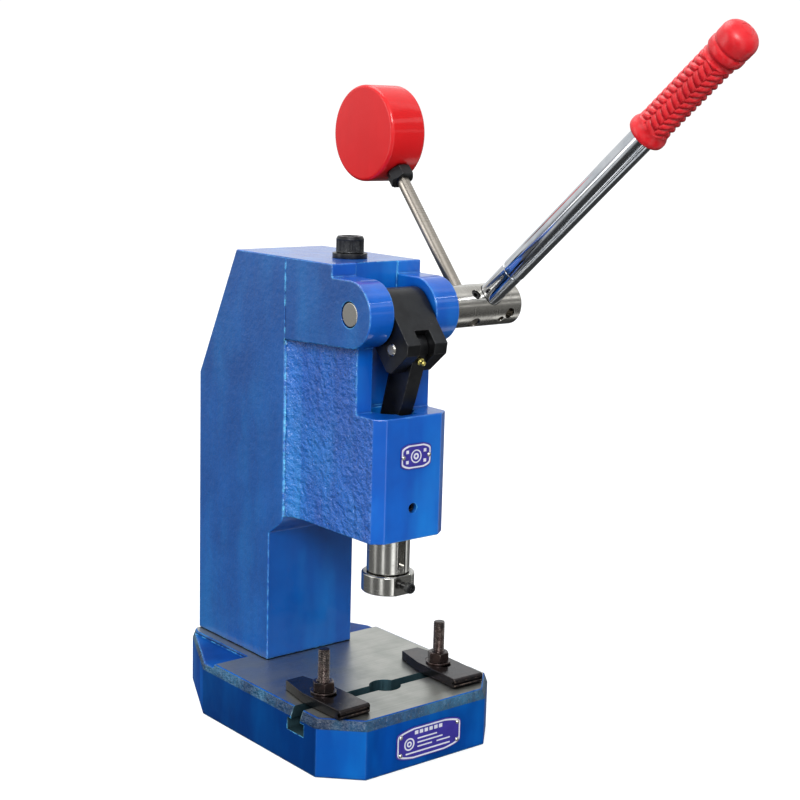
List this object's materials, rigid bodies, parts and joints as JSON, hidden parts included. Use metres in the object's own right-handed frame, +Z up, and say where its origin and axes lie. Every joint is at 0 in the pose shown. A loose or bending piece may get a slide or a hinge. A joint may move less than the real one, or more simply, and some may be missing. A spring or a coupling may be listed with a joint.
{
  "type": "arbor press",
  "caption": "Bench hand press with a toggle drive, a side lever with a counterweight, a keyed ram and a table with two T-slot clamps.",
  "frame": {"origin": "centre of the base plate on its underside, where it rests on the bench", "axes": "+Z up, -Y towards the operator, +X to the operator's right, where the lever is"},
  "size_m": [0.212, 0.4781, 0.5803],
  "materials": {
    "blue_enamel": "gloss",
    "black_oxide_steel": "satin",
    "bright_steel": "satin",
    "chrome": "polished",
    "bronze": "satin",
    "brass": "satin",
    "red_grip": "satin",
    "red_enamel": "gloss",
    "label_metal": "satin"
  },
  "bodies": {
    "frame": {"base_plate": "blue_enamel", "column_casting": "blue_enamel", "column_bolt_front_left": "black_oxide_steel", "column_bolt_front_right": "black_oxide_steel", "column_bolt_rear_left": "black_oxide_steel", "column_bolt_rear_right": "black_oxide_steel", "top_bolt_washer": "black_oxide_steel", "top_bolt": "black_oxide_steel", "shaft_bush_left": "bronze", "shaft_bush_right": "bronze", "ram_guide_screw": "black_oxide_steel", "base_label_plate": "label_metal", "base_label_rivet_1": "bright_steel", "base_label_rivet_2": "bright_steel", "base_label_rivet_3": "bright_steel", "base_label_rivet_4": "bright_steel", "head_emblem_plate": "label_metal", "head_emblem_rivet_1": "bright_steel", "head_emblem_rivet_2": "bright_steel"},
    "lever": {"cross_shaft": "bright_steel", "thrust_washer": "bright_steel", "shaft_key": "bright_steel", "yoke": "black_oxide_steel", "knee_pin": "bright_steel", "lever_rod": "chrome", "lever_tube": "chrome", "lever_grip": "red_grip", "counterweight_rod": "chrome", "counterweight": "red_enamel", "counterweight_nut": "black_oxide_steel", "counterweight_lock_screw": "black_oxide_steel", "counterweight_rod_screw": "black_oxide_steel"},
    "link": {"lower_link": "black_oxide_steel", "grease_nipple": "brass", "ram_pin": "bright_steel"},
    "ram": {"ram": "bright_steel", "ram_collar": "bright_steel"},
    "tool_screw": {"tool_clamp_screw": "black_oxide_steel"},
    "left_stud": {"clamp_stud_left": "black_oxide_steel"},
    "left_bar": {"clamp_bar_left": "black_oxide_steel", "clamp_washer_left": "black_oxide_steel"},
    "left_nut": {"clamp_nut_left": "black_oxide_steel"},
    "right_stud": {"clamp_stud_right": "black_oxide_steel"},
    "right_bar": {"clamp_bar_right": "black_oxide_steel", "clamp_washer_right": "black_oxide_steel"},
    "right_nut": {"clamp_nut_right": "black_oxide_steel"}
  },
  "joints": [
    {"name": "lever_turn", "type": "hinge", "parent": "frame", "child": "lever", "pos_m": [0, -0.08, 0.357], "axis": [1, 0, 0], "range_deg": [-45, 40]},
    {"name": "link_fold", "type": "hinge", "parent": "lever", "child": "link", "pos_m": [0, -0.10186, 0.33095], "axis": [1, 0, 0], "range_deg": [-53.7, 60.4]},
    {"name": "ram_slide", "type": "slide", "parent": "frame", "child": "ram", "axis": [0, 0, -1], "range_m": [-0.02255, 0.02005]},
    {"name": "tool_screw_turn", "type": "hinge", "parent": "ram", "child": "tool_screw", "pos_m": [0, -0.105, 0.138], "axis": [0, -1, 0], "range_deg": [0, 720]},
    {"name": "left_stud_slide", "type": "slide", "parent": "frame", "child": "left_stud", "axis": [1, 0, 0], "range_m": [-0.012, 0.026]},
    {"name": "left_bar_swivel", "type": "hinge", "parent": "left_stud", "child": "left_bar", "pos_m": [-0.063, -0.08, 0.053], "axis": [0, 0, 1], "range_deg": [-20, 20]},
    {"name": "left_nut_turn", "type": "hinge", "parent": "left_stud", "child": "left_nut", "pos_m": [-0.063, -0.08, 0.064], "axis": [0, 0, 1], "range_deg": [0, 1080]},
    {"name": "right_stud_slide", "type": "slide", "parent": "frame", "child": "right_stud", "axis": [1, 0, 0], "range_m": [-0.026, 0.012]},
    {"name": "right_bar_swivel", "type": "hinge", "parent": "right_stud", "child": "right_bar", "pos_m": [0.057, -0.08, 0.053], "axis": [0, 0, 1], "range_deg": [-20, 20]},
    {"name": "right_nut_turn", "type": "hinge", "parent": "right_stud", "child": "right_nut", "pos_m": [0.057, -0.08, 0.064], "axis": [0, 0, 1], "range_deg": [0, 1080]}
  ],
  "couplings": [
    {"joint": "link_fold", "follows": "lever_turn", "ratio": -1.34},
    {"joint": "ram_slide", "follows": "lever_turn", "m_per_rad": 0.02865}
  ]
}
